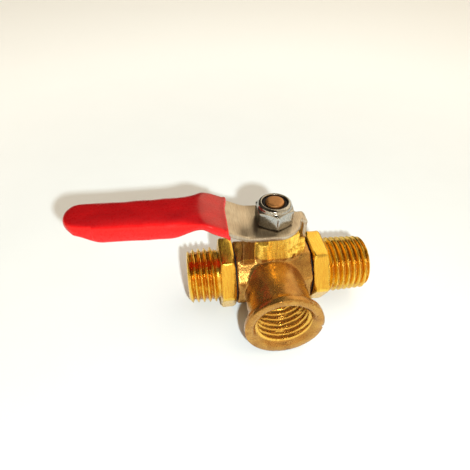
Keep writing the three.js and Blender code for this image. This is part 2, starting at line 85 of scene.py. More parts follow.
BODY_LEFT, BODY_RIGHT = span("valve_body", 0)
BRANCH_FACE, BODY_BACK = span("valve_body", 1)
BODY_LOW, STOP_TOP = span("valve_body", 2)
RIM_R = -BODY_LOW
BARREL_AF = 2 * BODY_BACK
STEM_LOW, STEM_TOP = span("stem", 2)
BALL_R = span("ball", 1)[1]
PLATE_END, TAB_OUTER = span("lever_plate", 0)
HEAD_R = span("lever_plate", 1)[1]
TAB_BOTTOM = span("lever_plate", 2)[0]
GRIP_END, GRIP_MOUTH = span("lever_grip_sleeve", 0)
NUT_BOTTOM, NUT_TOP = span("lock_nut", 2)
WASHER_BOTTOM, WASHER_TOP = span("stem_thrust_washer", 2)
WASHER_R = span("stem_thrust_washer", 0)[1]
SEAL_NEAR, SEAL_FAR = span("right_body_seal", 0)
SEAL_R = span("right_body_seal", 1)[1]
SEAT_NEAR, SEAT_FAR = span("right_ball_seat", 0)
SEAT_R = span("right_ball_seat", 1)[1]

BORE_R = 3.5                      # flow passage through the connectors and out of the branch
SOCKET_R = 6.35                   # the body's socket for a connector's tail
TAIL_R = 6.3
TAIL_END = 8.05 - 1.2             # inner end of a connector's tail, 1.2 inside the barrel's end
PORT_R = 3.0                      # passages in the ball
SLOT_HALF = 1.2                   # the ball's slot for the stem's tang
SLOT_DEPTH = 1.4
STEM_R = 2.9
STUD_R = 2.5                      # threaded top of the stem, through the lever and the nut
STUD_TIP_R = 2.08
PLATE = 1.15                      # thickness of the lever's steel
PLATE_TOP = NUT_BOTTOM - 0.05
PLATE_BOTTOM = PLATE_TOP - PLATE
VINYL = 0.55                      # thickness of the grip
NUT_AF = 7.9                      # across the nut's flats
HEX_AF = 15.5                     # across the connectors' flats
STEM_HOLE_R = STEM_R + 0.1
FLANGE_HOLE_R = 3.9               # wider hole below, for the stem's flange and its washer
FLANK = 0.66                      # turns a radial distance into one square to a thread's flank

RIM_WIDTH = 1.7
NECK_R = 7.2
NECK_END_R = 7.55
MOUTH_R = 7.25
MOUTH_DEPTH = 0.8
FEMALE_CREST_R = 5.72
FEMALE_DEPTH = 0.92
FEMALE_TURNS = 7
BARREL_TOP = CENTRE[2] / MM + BARREL_AF / 2   # from the row's origin, as materials count it


# ---- Distance fields ---------------------------------------------------------------------------

def join(a, b, soft=0.3):
    """Union whose inner corner is a fillet about `soft` wide."""
    blend = np.maximum(soft - np.abs(a - b), 0) / soft
    return np.minimum(a, b) - blend * blend * soft / 4


def common(a, b, soft=0.3):
    """Intersection with its edge rounded over about `soft`."""
    return -join(-a, -b, soft)


def cut(a, b, soft=0.2):
    """a without b, with the new edge rounded."""
    return common(a, -b, soft)


def between(values, low, high):
    """Slab between two places along an axis."""
    return np.abs(values - (low + high) / 2) - (high - low) / 2


def polygon(a, b, sides, across_flats, turn=0.0, soft=0.3):
    """Prism whose first flat faces the direction `turn`, from a towards b."""
    field = None
    for i in range(sides):
        angle = turn + 2 * math.pi * i / sides
        flat = a * math.cos(angle) + b * math.sin(angle) - across_flats / 2
        field = flat if field is None else common(field, flat, soft)
    return field


def outline(a, b, points, soft=0.3):
    """Prism inside every side of an outline whose points run anticlockwise.

    It follows the outline only where the outline is convex.
    """
    field = None
    for (a0, b0), (a1, b1) in zip(points, points[1:] + points[:1]):
        length = math.hypot(a1 - a0, b1 - b0)
        side = ((a - a0) * (b1 - b0) - (b - b0) * (a1 - a0)) / length
        field = side if field is None else common(field, side, soft)
    return field


def block(a, b, low, high, soft=0.25):
    """Prism of a rectangle between two corners."""
    return outline(a, b, [low, (high[0], low[1]), high, (low[0], high[1])], soft)


def turned(along, radius, profile):
    """Outside of a turned shape; the profile is (distance along, radius) pairs."""
    places = [p[0] for p in profile]
    radii = [p[1] for p in profile]
    surface = np.interp(along, places, radii)
    steepness = np.gradient(surface.ravel(), along.ravel()).reshape(surface.shape)
    return (radius - surface) / np.sqrt(1 + np.minimum(steepness ** 2, 4))


def ring(along, radius, low, high, inner, outer, rounding):
    """Ring with a rounded rectangular section."""
    across = np.abs(radius - (inner + outer) / 2) - (outer - inner) / 2 + rounding
    length = np.abs(along - (low + high) / 2) - (high - low) / 2 + rounding
    outside = np.hypot(np.maximum(across, 0), np.maximum(length, 0))
    return outside + np.minimum(np.maximum(across, length), 0) - rounding


def thread_wave(along, a, b, pitch=PITCH):
    """0 on the crest and 1 in the root of a right-hand thread; a turns towards b."""
    phase = along / pitch - np.arctan2(b, a) / (2 * math.pi)
    ramp = 2 * np.abs(phase - np.floor(phase) - 0.5)
    flatted = np.clip(ramp * 1.24 - 0.12, 0, 1)
    return 0.72 * flatted + 0.28 * (0.5 - 0.5 * np.cos(math.pi * flatted))


def ease(low, high, value):
    """0 at `low` and 1 at `high`, smooth between; low may be above high."""
    t = np.clip((value - low) / (high - low), 0, 1)
    return t * t * (3 - 2 * t)


def lumps(x, y, z, size, seed):
    """Smooth pseudo-random waves of about unit height, `size` millimetres across."""
    chance = np.random.default_rng(seed)
    total = 0
    for _ in range(6):
        direction = chance.normal(size=3)
        direction = direction / np.linalg.norm(direction) * 2 * math.pi / size
        direction = direction * chance.uniform(0.6, 1.5)
        total = total + np.sin(
            x * direction[0] + y * direction[1] + z * direction[2] + chance.uniform(0, 6.3))
    return total / 3


# ---- Meshing -----------------------------------------------------------------------------------

def grid(low, high, step):
    """Coordinates that broadcast over a box of cells."""
    axes = [np.arange(a, b + step, step, dtype=np.float32) for a, b in zip(low, high)]
    return axes[0][:, None, None], axes[1][None, :, None], axes[2][None, None, :]


def piece(name, body, nodes, material, field, low, high, step, flatness=0.25):
    """Meshes a field and hangs the piece on the frame in place of its CAD nodes."""
    x, y, z = grid(low, high, step)
    values = np.broadcast_to(field(x, y, z), (x.size, y.size, z.size))
    band = 3 * step
    volume = vdb.FloatGrid(band)
    volume.copyFromArray(np.ascontiguousarray(np.clip(values, -band, band), dtype=np.float32))
    points, triangles, quads = volume.convertToPolygons(0.0, flatness)
    points = points * step + np.array([x.min(), y.min(), z.min()])
    faces = [tuple(reversed(f)) for f in quads.tolist() + triangles.tolist()]
    mesh = bpy.data.meshes.new(name)
    mesh.from_pydata((points * MM + np.array(CENTRE)).tolist(), [], faces)
    mesh.validate()
    mesh.shade_smooth()
    mesh.materials.append(material)
    shape = bpy.data.objects.new(name, mesh)
    bpy.context.scene.collection.objects.link(shape)
    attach(shape, body)
    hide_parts(*nodes)
    return shape


# ---- Materials ---------------------------------------------------------------------------------

class Nodes:
    """Short names for building one node material."""

    def __init__(self, name):
        self.material = bpy.data.materials.new(name)
        self.material.use_nodes = True
        self.tree = self.material.node_tree
        self.shader = self.tree.nodes["Principled BSDF"]
        self.place = self.add("ShaderNodeTexCoord").outputs["Object"]

    def add(self, kind, **settings):
        node = self.tree.nodes.new(kind)
        for key, value in settings.items():
            setattr(node, key, value)
        return node

    def link(self, source, target):
        self.tree.links.new(source, target)

    def scaled(self, x, y, z):
        """Object coordinates counted per millimetre along each axis."""
        node = self.add("ShaderNodeMapping")
        node.inputs["Scale"].default_value = (x / MM, y / MM, z / MM)
        self.link(self.place, node.inputs["Vector"])
        return node.outputs["Vector"]

    def noise(self, scale=(1, 1, 1), detail=3.0, rough=0.55, warp=0.0):
        node = self.add("ShaderNodeTexNoise")
        node.inputs["Scale"].default_value = 1.0
        node.inputs["Detail"].default_value = detail
        node.inputs["Roughness"].default_value = rough
        node.inputs["Distortion"].default_value = warp
        self.link(self.scaled(*scale), node.inputs["Vector"])
        return node.outputs["Fac"]

    def ramp(self, source, *stops):
        """Colour or grey ramp; stops are (place, value or colour)."""
        node = self.add("ShaderNodeValToRGB")
        elements = node.color_ramp.elements
        while len(elements) < len(stops):
            elements.new(0.5)
        for element, (place, value) in zip(elements, stops):
            colour = value if isinstance(value, tuple) else (value, value, value)
            element.position = place
            element.color = (*colour, 1)
        self.link(source, node.inputs["Fac"])
        return node.outputs["Color"]

    def mix(self, factor, a, b, blend="MIX"):
        node = self.add("ShaderNodeMix", data_type="RGBA", blend_type=blend)
        sockets = (node.inputs["Factor"], node.inputs[6], node.inputs[7])
        for socket, value in zip(sockets, (factor, a, b)):
            if isinstance(value, tuple):
                socket.default_value = (*value, 1)
            elif isinstance(value, (int, float)):
                socket.default_value = value
            else:
                self.link(value, socket)
        return node.outputs[2]

    def maths(self, operation, a, b=0.0):
        node = self.add("ShaderNodeMath", operation=operation)
        for socket, value in ((node.inputs[0], a), (node.inputs[1], b)):
            if isinstance(value, (int, float)):
                socket.default_value = value
            else:
                self.link(value, socket)
        return node.outputs[0]

    def coordinate(self, axis):
        """Place along an axis in millimetres, from the row's origin."""
        node = self.add("ShaderNodeSeparateXYZ")
        self.link(self.scaled(1, 1, 1), node.inputs[0])
        return node.outputs[axis]

    def fade(self, source, low, high):
        """0 at `low` and 1 at `high`, smooth between; low may be above high."""
        node = self.add("ShaderNodeMapRange", interpolation_type="SMOOTHSTEP")
        node.inputs["From Min"].default_value = low
        node.inputs["From Max"].default_value = high
        self.link(source, node.inputs["Value"])
        return node.outputs["Result"]

    def crevice(self, distance):
        """1 in the open and towards 0 in corners and grooves."""
        node = self.add("ShaderNodeAmbientOcclusion", samples=6)
        node.inputs["Distance"].default_value = distance * MM
        return node.outputs["AO"]

    def bump(self, height, depth, strength=1.0, under=None):
        node = self.add("ShaderNodeBump")
        node.inputs["Strength"].default_value = strength
        node.inputs["Distance"].default_value = depth * MM
        self.link(height, node.inputs["Height"])
        if under is not None:
            self.link(under, node.inputs["Normal"])
        return node.outputs["Normal"]

    def finish(self, metallic, colour, roughness, normal):
        if isinstance(metallic, float):
            self.shader.inputs["Metallic"].default_value = metallic
        else:
            self.link(metallic, self.shader.inputs["Metallic"])
        self.link(colour, self.shader.inputs["Base Color"])
        self.link(roughness, self.shader.inputs["Roughness"])
        self.link(normal, self.shader.inputs["Normal"])
        return self.material


LUG_SHADE_EDGES = (-4.6, -4.85)       # the painted shade starts at the first place along the run, full at the second


def forged_brass():
    """Dull brown neck, brighter trimmed boss and stops, and a machined thread in the branch.

    The far stop lug, left of the boss, has painted shade: it is painted dark as the lever's shadow and the
    grip's dark reflection.
    """
    n = Nodes("forged brass")
    patches = n.noise((0.28, 0.28, 0.28), detail=4, warp=0.6)
    grain = n.noise((5, 5, 5), detail=5)
    streaks = n.noise((3.5, 3.5, 0.45), detail=4)
    across = n.coordinate(0)
    height = n.coordinate(2)
    above_axis = n.maths("SUBTRACT", height, CENTRE[2] / MM)
    from_branch_axis = n.maths("SQRT", n.maths(
        "ADD", n.maths("MULTIPLY", across, across), n.maths("MULTIPLY", above_axis, above_axis)))
    dull = n.ramp(
        patches, (0.3, (0.32, 0.13, 0.028)), (0.5, (0.44, 0.21, 0.046)), (0.72, (0.56, 0.30, 0.07)))
    dull = n.mix(n.ramp(grain, (0.42, 0.0), (0.7, 0.4)), dull, (0.68, 0.42, 0.11))
    trimmed = n.ramp(
        streaks, (0.32, (0.55, 0.25, 0.03)), (0.5, (0.90, 0.56, 0.07)), (0.68, (1.0, 0.74, 0.14)))
    machined = n.ramp(grain, (0.3, (0.78, 0.42, 0.06)), (0.7, (0.92, 0.58, 0.12)))
    depth = n.coordinate(1)
    above_barrel = n.fade(height, BARREL_TOP - 0.1, BARREL_TOP + 0.7)
    on_boss = n.maths("MULTIPLY", above_barrel, n.fade(depth, -9, -8))
    colour = n.mix(on_boss, dull, trimmed)
    # painted shade: the far lug darkened as the lever's shadow and the grip's dark reflection
    painted_lug_shade = n.maths("MULTIPLY", on_boss, n.fade(across, *LUG_SHADE_EDGES))
    colour = n.mix(n.maths("MULTIPLY", painted_lug_shade, 0.9), colour, (0.13, 0.035, 0.010))
    inside = n.maths("MULTIPLY", n.fade(from_branch_axis, 6.9, 6.7), n.fade(depth, -6, -7))
    inside = n.maths("MULTIPLY", inside, n.fade(depth, BRANCH_FACE + 0.9, BRANCH_FACE + 1.1))
    colour = n.mix(inside, colour, machined)
    # painted shade: darker brown in corners and grooves, from ambient occlusion
    painted_crevice_shade = n.ramp(n.crevice(1.6), (0.2, (0.45, 0.17, 0.04)), (0.7, (1.0, 1.0, 1.0)))
    colour = n.mix(0.8, colour, painted_crevice_shade, "MULTIPLY")
    rough = n.ramp(grain, (0.3, 0.18), (0.7, 0.34))
    swell = n.noise((0.9, 0.9, 0.9), detail=2)
    normal = n.bump(swell, 0.07, 0.45)
    normal = n.bump(grain, 0.015, 0.35, normal)
    metallic = n.maths("SUBTRACT", 0.9, n.maths("MULTIPLY", on_boss, 0.2))
    return n.finish(metallic, colour, rough, normal)


def turned_brass(axis_scale):
    """Bright bar brass; axis_scale has a high count along the turning axis."""
    n = Nodes("turned brass")
    rings = n.noise(axis_scale, detail=3)
    patches = n.noise((0.25, 0.25, 0.25), detail=3)
    base = n.ramp(patches, (0.3, (0.90, 0.57, 0.08)), (0.7, (0.98, 0.69, 0.11)))
    streaks = n.mix(n.ramp(rings, (0.35, 0.55), (0.6, 0.0)), base, (0.66, 0.28, 0.04))
    # painted shade: darker brown in corners and grooves, from ambient occlusion
    painted_crevice_shade = n.ramp(n.crevice(0.9), (0.3, (0.56, 0.19, 0.03)), (0.78, (1.0, 1.0, 1.0)))
    colour = n.mix(0.85, streaks, painted_crevice_shade, "MULTIPLY")
    rough = n.ramp(rings, (0.3, 0.18), (0.7, 0.32))
    normal = n.bump(rings, 0.02, 0.5)
    return n.finish(1.0, colour, rough, normal)


def stem_brass():
    """Dull, browned brass with a coarse grain."""
    n = Nodes("stem brass")
    grain = n.noise((6, 6, 6), detail=5)
    colour = n.ramp(grain, (0.3, (0.50, 0.235, 0.09)), (0.7, (0.74, 0.40, 0.16)))
    rough = n.ramp(grain, (0.3, 0.4), (0.7, 0.58))
    return n.finish(1.0, colour, rough, n.bump(grain, 0.04, 0.7))


def lever_steel():
    """Warm grey steel, brushed across the lever."""
    n = Nodes("lever steel")
    across = n.noise((7, 0.35, 0.35), detail=4)
    patches = n.noise((0.3, 0.3, 0.3), detail=4)
    base = n.ramp(patches, (0.3, (0.58, 0.49, 0.37)), (0.7, (0.72, 0.65, 0.52)))
    colour = n.mix(n.ramp(across, (0.38, 0.45), (0.6, 0.0)), base, (0.27, 0.20, 0.13))
    rough = n.ramp(across, (0.3, 0.30), (0.7, 0.48))
    return n.finish(1.0, colour, rough, n.bump(across, 0.02, 0.6))


def nut_zinc():
    """Bright zinc plate, mottled, with painted shade darkening its corners."""
    n = Nodes("zinc plate")
    grain = n.noise((3.5, 3.5, 3.5), detail=5)
    base = n.ramp(grain, (0.3, (0.26, 0.26, 0.25)), (0.68, (0.62, 0.61, 0.56)))
    # painted shade: darker in corners and grooves, from ambient occlusion
    painted_crevice_shade = n.ramp(n.crevice(0.8), (0.25, (0.22, 0.18, 0.15)), (0.8, (1.0, 1.0, 1.0)))
    colour = n.mix(0.9, base, painted_crevice_shade, "MULTIPLY")
    rough = n.ramp(grain, (0.3, 0.10), (0.7, 0.22))
    return n.finish(1.0, colour, rough, n.bump(grain, 0.02, 0.5))


def chrome():
    """Plated ball, hazed a little by wear."""
    n = Nodes("polished chrome")
    haze = n.noise((0.8, 0.8, 0.8), detail=3)
    colour = n.ramp(haze, (0.3, (0.72, 0.73, 0.75)), (0.7, (0.82, 0.83, 0.84)))
    rough = n.ramp(haze, (0.3, 0.05), (0.7, 0.13))
    return n.finish(1.0, colour, rough, n.bump(n.noise((9, 9, 9)), 0.004, 0.4))


def vinyl():
    """Dipped red vinyl; faces that look up get painted shade as a deeper red and the flanks get painted
    light as a brighter red.
    """
    n = Nodes("dipped vinyl")
    cloud = n.noise((0.12, 0.25, 0.25), detail=3)
    skin = n.noise((1.4, 1.4, 1.4), detail=3)
    painted_shade_top = n.ramp(cloud, (0.3, (0.26, 0.001, 0.003)), (0.7, (0.38, 0.002, 0.004)))
    painted_light_flank = n.ramp(cloud, (0.3, (0.58, 0.006, 0.007)), (0.7, (0.70, 0.010, 0.010)))
    facing = n.add("ShaderNodeSeparateXYZ")
    n.link(n.add("ShaderNodeNewGeometry").outputs["Normal"], facing.inputs[0])
    # painted shade and light: darker red where the surface faces up, brighter on the flanks
    colour = n.mix(n.fade(facing.outputs["Z"], 0.55, 1.0), painted_light_flank, painted_shade_top)
    rough = n.ramp(skin, (0.3, 0.24), (0.7, 0.34))
    n.shader.inputs["Specular IOR Level"].default_value = 0.22
    n.shader.inputs["Coat Weight"].default_value = 0.3
    n.shader.inputs["Coat Roughness"].default_value = 0.1
    swell = n.bump(n.noise((0.35, 0.5, 0.5), detail=1), 0.12, 0.5)
    return n.finish(0.0, colour, rough, n.bump(skin, 0.008, 0.4, swell))


def moulded(name, dark, light, rough_low, rough_high, grain_scale, shine=0.5):
    """Rubber, nylon and PTFE: a fine moulded grain with slight colour variation."""
    n = Nodes(name)
    grain = n.noise((grain_scale,) * 3, detail=4)
    colour = n.ramp(grain, (0.3, dark), (0.7, light))
    rough = n.ramp(grain, (0.3, rough_low), (0.7, rough_high))
    n.shader.inputs["Specular IOR Level"].default_value = shine
    return n.finish(0.0, colour, rough, n.bump(grain, 0.02, 0.6))


FORGED = forged_brass()
TURNED = turned_brass((9, 0.5, 0.5))
STEM = stem_brass()
STEEL = lever_steel()
ZINC = nut_zinc()
CHROME = chrome()
RED = vinyl()
RUBBER = moulded("nitrile rubber", (0.010, 0.010, 0.011), (0.024, 0.023, 0.024), 0.45, 0.65, 5)
NYLON = moulded("dark nylon", (0.004, 0.003, 0.003), (0.013, 0.009, 0.008), 0.30, 0.46, 4, 0.15)
WHITE = moulded("white ptfe", (0.74, 0.73, 0.70), (0.84, 0.83, 0.80), 0.38, 0.5, 3)


# ---- Body --------------------------------------------------------------------------------------

def body_outside(x, y, z):
    """Octagonal barrel, branch neck and rim."""
    barrel = polygon(y, z, 8, BARREL_AF, soft=0.5)
    barrel = common(barrel, between(x, BODY_LEFT, BODY_RIGHT), 0.35)
    around_y = np.hypot(x, z)
    neck = turned(y, around_y, [
        (BRANCH_FACE, NECK_END_R), (BRANCH_FACE + RIM_WIDTH, NECK_END_R),
        (-BARREL_AF / 2, NECK_R), (0, NECK_R)])
    neck = common(neck, between(y, BRANCH_FACE, 0), 0.2)
    rim = ring(y, around_y, BRANCH_FACE, BRANCH_FACE + RIM_WIDTH, 0, RIM_R, 0.28)
    rim = common(rim, around_y - RIM_R, 0.1)
    shape = join(join(barrel, neck, 0.35), rim, 1.3)
    return common(shape, BRANCH_FACE - y, 0.2)


BOSS_HALF = 4.5
BOSS_FLAT_HALF = BOSS_HALF - 1.35             # half of each side between the cut corners
BOSS_TOP = STOP_TOP - 2.15
SHELF_TOP = TAB_BOTTOM - 0.5                  # the shelf runs under the tab
SHELF_REACH = 7.6
SHELF_END_HALF = 2.6
WALL_BACK = -3.35                             # rear of the front wall
WALL_TURN = 3.2                               # the outline's rear turns here; its slant trims the left end
WALL_REACH = 5.9
WALL_END = (-3.33, -1.6)                      # front and rear of the outline's right end
REST_LUG = (-1.8, -0.8)                       # front and rear of the lug that stops the tab at rest
REST_LUG_TOP = TAB_BOTTOM + 0.5
FAR_LUG = ((-7.5, -4.1), (-4.8, -2.8))        # corners of the lug that stops the tab after its turn
FAR_LUG_WEB = ((-5.2, -3.2), (-4, -2.2))


def boss_and_stops(x, y, z):
    """Boss round the stem, shelf under the tab, front wall and the two lugs that stop the tab.

    The wall's outline is hollow at the rear, so the wall is only the wedge inside all its sides.
    """
    short = BOSS_FLAT_HALF
    plan = outline(x, y, [
        (-short, -BOSS_HALF), (short, -BOSS_HALF), (BOSS_HALF, -short), (BOSS_HALF, short),
        (short, BOSS_HALF), (-short, BOSS_HALF), (-BOSS_HALF, short), (-BOSS_HALF, -short)], 0.35)
    boss = common(plan, between(z, 0, BOSS_TOP), 0.3)
    shelf_plan = outline(x, y, [
        (0, -BOSS_HALF), (short, -BOSS_HALF), (SHELF_REACH, -SHELF_END_HALF),
        (SHELF_REACH, SHELF_END_HALF), (short, BOSS_HALF), (0, BOSS_HALF)], 0.4)
    shelf = common(shelf_plan, between(z, 0, SHELF_TOP), 0.4)
    wall_plan = outline(x, y, [
        (-short, -BOSS_HALF), (short, -BOSS_HALF), (WALL_REACH, WALL_END[0]), (WALL_REACH, WALL_END[1]),
        (WALL_TURN, WALL_END[1]), (0, WALL_BACK), (-short, WALL_BACK)], 0.25)
    wall = common(wall_plan, between(z, 0, STOP_TOP), 0.3)
    rest_plan = block(x, y, (WALL_REACH - 0.5, REST_LUG[0]), (SHELF_REACH, REST_LUG[1]))
    rest_lug = common(rest_plan, between(z, 0, REST_LUG_TOP), 0.25)
    wall = join(wall, rest_lug, 0.3)
    lug_plan = join(block(x, y, *FAR_LUG), block(x, y, *FAR_LUG_WEB), 0.2)
    lug = common(lug_plan, between(z, 0, STOP_TOP), 0.3)
    return join(join(join(boss, shelf, 0.4), wall, 0.3), lug, 0.12)


def forging_pits(x, y, z):
    """Small pits along the slanted right front face of the shelf."""
    chance = np.random.default_rng(7)
    field = None
    for _ in range(9):
        along = chance.uniform(0, 1)
        off_face = chance.uniform(-0.05, 0.1)
        spot = (3.3 + 4.1 * along, -4.5 + 1.9 * along + off_face, chance.uniform(7.6, 12.2))
        size = chance.uniform(0.22, 0.5)
        distance = np.sqrt((x - spot[0]) ** 2 + (y - spot[1]) ** 2 + (z - spot[2]) ** 2 * 0.6) - size
        field = distance if field is None else np.minimum(field, distance)
    return field


def body_inside(x, y, z):
    """Sockets, ball chamber, branch thread with its mouth and passage, and the stem's hole."""
    around_x = np.hypot(y, z)
    around_y = np.hypot(x, z)
    around_z = np.hypot(x, y)
    socket = common(around_x - SOCKET_R, np.abs(np.abs(x) - 10) - 10 + 5.9, 0.1)
    chamber = common(around_x - (SEAT_R + 0.15), np.abs(x) - 6, 0.1)
    start = BRANCH_FACE + MOUTH_DEPTH
    end = start + FEMALE_TURNS * PITCH
    crest = FEMALE_CREST_R - (y - start) * TAPER
    wave = thread_wave(y, z, x)
    fade = 1 - ease(end - 1.2, end, y)
    groove = (around_y - crest - FEMALE_DEPTH * wave * fade) * FLANK
    groove = common(groove, between(y, BRANCH_FACE - 3, end), 0.1)
    mouth = turned(y, around_y, [
        (BRANCH_FACE - 3, MOUTH_R), (BRANCH_FACE, MOUTH_R),
        (start + 0.25, FEMALE_CREST_R + 0.55), (0, 1)])
    mouth = common(mouth, y - start - 0.3, 0.1)
    passage = common(around_y - BORE_R, between(y, end - 0.5, 0), 0.1)
    stem_hole = turned(z, around_z, [
        (0, FLANGE_HOLE_R), (WASHER_TOP + 0.05, FLANGE_HOLE_R),
        (WASHER_TOP + 0.06, STEM_HOLE_R), (STOP_TOP + 2, STEM_HOLE_R)])
    stem_hole = common(stem_hole, between(z, 0, STOP_TOP + 2), 0.1)
    inside = np.minimum(np.minimum(socket, chamber), np.minimum(groove, mouth))
    return np.minimum(np.minimum(inside, passage), stem_hole)


TORN_CORNER = (5.6, -4.2, 8.6)


def body_field(x, y, z):
    """The forging: lightly rough all over, torn at one corner of the shelf, smooth near the rim."""
    shape = join(body_outside(x, y, z), boss_and_stops(x, y, z), 0.3)
    machined = 1 - ease(BRANCH_FACE + RIM_WIDTH, BRANCH_FACE + RIM_WIDTH + 2, y)
    rough = 0.025 * lumps(x, y, z, 2.6, 3) + 0.012 * lumps(x, y, z, 0.9, 5)
    torn_x, torn_y, torn_z = TORN_CORNER
    from_corner = np.sqrt((x - torn_x) ** 2 + (y - torn_y) ** 2 + (z - torn_z) ** 2)
    torn = 0.13 * lumps(x, y, z, 1.1, 9) * ease(3.2, 0.8, from_corner)
    shape = shape + rough * (1 - 0.8 * machined) + torn
    shape = cut(shape, forging_pits(x, y, z), 0.15)
    return cut(shape, body_inside(x, y, z), 0.12)


# ---- End connectors ----------------------------------------------------------------------------

HEX_START = 9.2
LEFT_HEX_END = 12.6
RIGHT_HEX_END = 13.0
NECK = 0.9                        # plain neck between the hex and the thread
MALE_TIP_R = 6.6
MALE_DEPTH = 1.0
MALE_CHAMFER = 0.9


def connector_field(side, reach, hex_end):
    """Tail, hex and male thread of the connector on the left (-1) or the right (1)."""
    thread_start = hex_end + NECK

    def field(x, y, z):
        along = side * x
        radius = np.hypot(y, z)
        crest = MALE_TIP_R + (reach - along) * TAPER
        wave = thread_wave(x, y, z)
        relief = ease(thread_start + 0.35, thread_start - 0.1, along)
        groove = np.maximum(wave, relief)
        tip = np.maximum(0, along - (reach - MALE_CHAMFER)) * 0.85
        surface = np.minimum(crest - MALE_DEPTH * groove, crest - tip)
        shank = (radius - surface) * FLANK
        shank = common(shank, between(along, hex_end - 0.5, reach), 0.25)
        tail = common(radius - TAIL_R, between(along, TAIL_END, hex_end), 0.3)
        hexagon = polygon(y, z, 6, HEX_AF, math.pi / 2, 0.28)
        hexagon = common(hexagon, between(along, HEX_START, hex_end), 0.15)
        near = (radius - (HEX_AF / 2 + 0.35) - (along - HEX_START) * 1.5) * 0.55
        far = (radius - (HEX_AF / 2 + 0.55) - (hex_end - along) * 1.5) * 0.55
        hexagon = common(hexagon, common(near, far, 0.1), 0.12)
        solid = join(join(shank, tail, 0.1), hexagon, 0.15)
        bore = radius - BORE_R
        lip = (radius - BORE_R - np.maximum(0, along - reach + 0.4) * 1.0) * 0.7
        return cut(solid, np.minimum(bore, lip), 0.15)

    return field


# ---- Rings, ball and stem ----------------------------------------------------------------------

def seal_field(side):
    """Ring between the barrel and a connector's hex."""
    def field(x, y, z):
        return ring(side * x, np.hypot(y, z), SEAL_NEAR, SEAL_FAR, TAIL_R + 0.1, SEAL_R - 0.05, 0.14)

    return field


def seat_field(side):
    """Seat ring, hollowed for the ball."""
    def field(x, y, z):
        along = side * x
        radius = np.hypot(y, z)
        solid = ring(along, radius, SEAT_NEAR, SEAT_FAR, PORT_R + 0.1, SEAT_R, 0.15)
        ball = np.sqrt(along ** 2 + radius ** 2) - (BALL_R + 0.12)
        return cut(solid, ball, 0.1)

    return field


def washer_field(x, y, z):
    return ring(z, np.hypot(x, y), WASHER_BOTTOM, WASHER_TOP, STEM_R + 0.12, WASHER_R, 0.12)


def o_ring_field(node):
    low, high = span(node, 2)
    outer = span(node, 0)[1]
    section = (high - low) / 2
    middle = (low + high) / 2

    def field(x, y, z):
        return np.hypot(np.hypot(x, y) - (outer - section), z - middle) - section

    return field


def ball_field(x, y, z):
    """Ball with a T of passages, from front to back and out to the left, and a slot on top."""
    sphere = np.sqrt(x * x + y * y + z * z) - BALL_R
    through = np.hypot(x, z) - PORT_R
    side = common(np.hypot(y, z) - PORT_R, x, 0.1)
    slot = common(np.abs(y) - SLOT_HALF, (BALL_R - SLOT_DEPTH) - z, 0.1)
    return cut(sphere, np.minimum(np.minimum(through, side), slot), 0.35)


STUD_PITCH = 0.8                  # M5 thread
STUD_THREAD_DEPTH = 0.42
STUD_FLAT_HALF = 1.95             # half the width over the two flats that turn with the lever
O_RING_GROOVE_R = 2.24


def stem_field(x, y, z):
    """Tang, flange, shaft with two O-ring grooves, two flats in the lever and a threaded top."""
    radius = np.hypot(x, y)
    flange_low = BALL_R + 0.6
    flange_top = flange_low + 0.8
    neck_top = NUT_TOP - 1.1
    shaft = turned(z, radius, [
        (flange_low, STEM_R), (PLATE_BOTTOM - 0.05, STEM_R), (PLATE_BOTTOM - 0.04, STUD_R),
        (neck_top - 0.6, STUD_R), (neck_top, STUD_TIP_R), (STEM_TOP, STUD_TIP_R)])
    thread = STUD_THREAD_DEPTH * thread_wave(z, x, y, STUD_PITCH)
    thread = thread * ease(PLATE_TOP + 0.2, PLATE_TOP + 0.7, z)
    thread = thread * ease(neck_top, neck_top - 0.6, z)
    shaft = common(shaft + thread * 0.8, between(z, flange_low, STEM_TOP), 0.55)
    flange = ring(z, radius, flange_low, flange_top, 0, STEM_R + 0.8, 0.12)
    beside = common(between(z, PLATE_BOTTOM - 0.05, PLATE_TOP + 0.3), STUD_FLAT_HALF - np.abs(y), 0.05)
    shaft = cut(shaft, beside, 0.05)
    for node in ("stem_o_ring_lower", "stem_o_ring_upper"):
        middle = sum(span(node, 2)) / 2
        groove = common(between(z, middle - 0.5, middle + 0.5), O_RING_GROOVE_R - radius, 0.1)
        shaft = cut(shaft, groove, 0.08)
    tang = common(np.abs(y) - (SLOT_HALF - 0.1), np.abs(x) - span("stem", 0)[1], 0.2)
    tang = common(tang, between(z, STEM_LOW, flange_low + 0.3), 0.2)
    return join(join(shaft, flange, 0.1), tang, 0.15)


# ---- Lever -------------------------------------------------------------------------------------

# Places along the lever are counted from the stem towards the tip.
LEVER_REACH = -PLATE_END
SHOULDER = 5.15                   # half width behind the head
SHOULDER_START = 12.5
SHOULDER_END = 20
NARROWEST = 4.45                  # half width at the tip
TIP_LENGTH = 5.6
TIP_POWER = 2.3                   # 2 for an elliptic tip, higher for a squarer one
CRANK_START = 6.2                 # the steel climbs between these two bends
CRANK_END = 16.1
CRANK_SLOPE = 0.5
BEND_SOFTNESS = 0.8
EDGE_FOLD = 3.35                  # how far the long edges drop
FOLD_POWER = 6                    # higher keeps the fold nearer to the edge
FOLD_START = 13.5
FOLD_END = 23
FOLD_FADE = 36.5                  # where the fold starts to run out towards the tip
FOLD_LOSS = 0.85
TAB_SIDES = (-0.5, 2.5)
TAB_BEND = 0.75                   # how far the corner over the tab is cut back
FLATS_HOLE_HALF = 2.0


def soft_step(value):
    """Ramp that starts at 0 with a soft bend."""
    return (value + np.hypot(value, BEND_SOFTNESS)) / 2


def plate_rise(reach):
    """Height of the steel above the head."""
    return CRANK_SLOPE * (soft_step(reach - CRANK_START) - soft_step(reach - CRANK_END))


def half_width(reach):
    """Half width of the steel, without its round head and tip."""
    shoulder = (HEAD_R - SHOULDER) * ease(SHOULDER_START, SHOULDER_END, reach)
    taper = (SHOULDER - NARROWEST) * ease(SHOULDER_END, LEVER_REACH, reach)
    return HEAD_R - shoulder - taper


